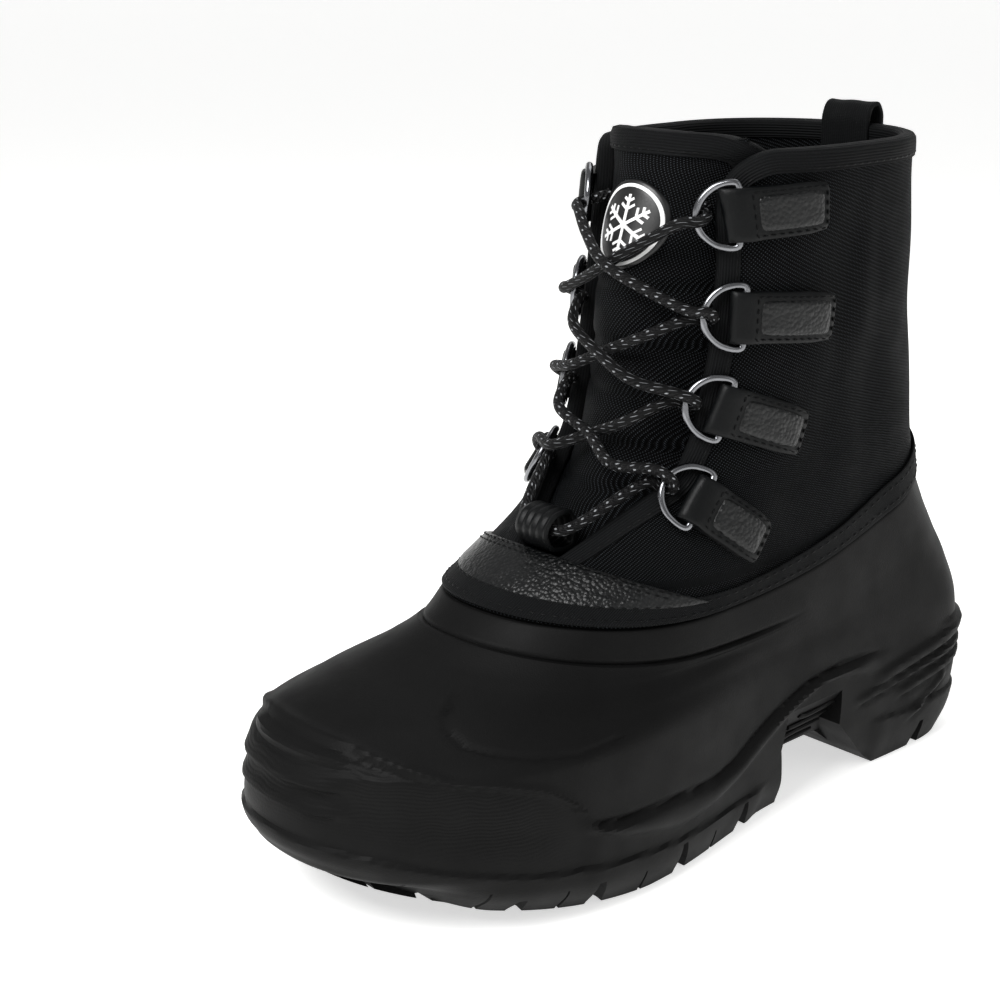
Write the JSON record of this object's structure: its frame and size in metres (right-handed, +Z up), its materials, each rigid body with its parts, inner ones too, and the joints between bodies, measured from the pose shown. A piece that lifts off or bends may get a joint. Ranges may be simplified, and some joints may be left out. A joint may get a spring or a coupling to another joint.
{
  "type": "snow boot",
  "caption": "Left snow boot with a moulded foam shell and lugged sole, padded nylon shaft open at collar and throat, gusseted tongue, and a round lace through D-rings.",
  "frame": {"origin": "middle of the tread's box, on the floor that the boot stands on", "axes": "+Z up, toe towards -Y, outer side of the foot at +X"},
  "size_m": [0.1246, 0.318, 0.2555],
  "materials": {
    "eva_foam": "matte moulded foam with a fine grain",
    "footbed": "knitted pile",
    "nylon": "plain-woven coarse nylon",
    "synthetic_leather": "semi-gloss, pebbled",
    "webbing": "ribbed tape",
    "lace": "round braid with light flecks",
    "nickel": "polished plating"
  },
  "bodies": {
    "root": {"shell_sole": "eva_foam", "insole": "footbed", "shaft": "nylon", "tongue": "nylon", "pull_loop": "webbing", "lace_keeper": "webbing", "lace_bar": "lace", "lace_crossing_1": "lace", "lace_crossing_2": "lace", "lace_crossing_3": "lace", "ring_tab_outer_1": "synthetic_leather", "ring_outer_1": "nickel", "ring_tab_outer_2": "synthetic_leather", "ring_outer_2": "nickel", "ring_tab_outer_3": "synthetic_leather", "ring_outer_3": "nickel", "ring_tab_outer_4": "synthetic_leather", "ring_outer_4": "nickel", "ring_tab_inner_1": "synthetic_leather", "ring_inner_1": "nickel", "ring_tab_inner_2": "synthetic_leather", "ring_inner_2": "nickel", "ring_tab_inner_3": "synthetic_leather", "ring_inner_3": "nickel", "ring_tab_inner_4": "synthetic_leather", "ring_inner_4": "nickel"}
  },
  "joints": []
}
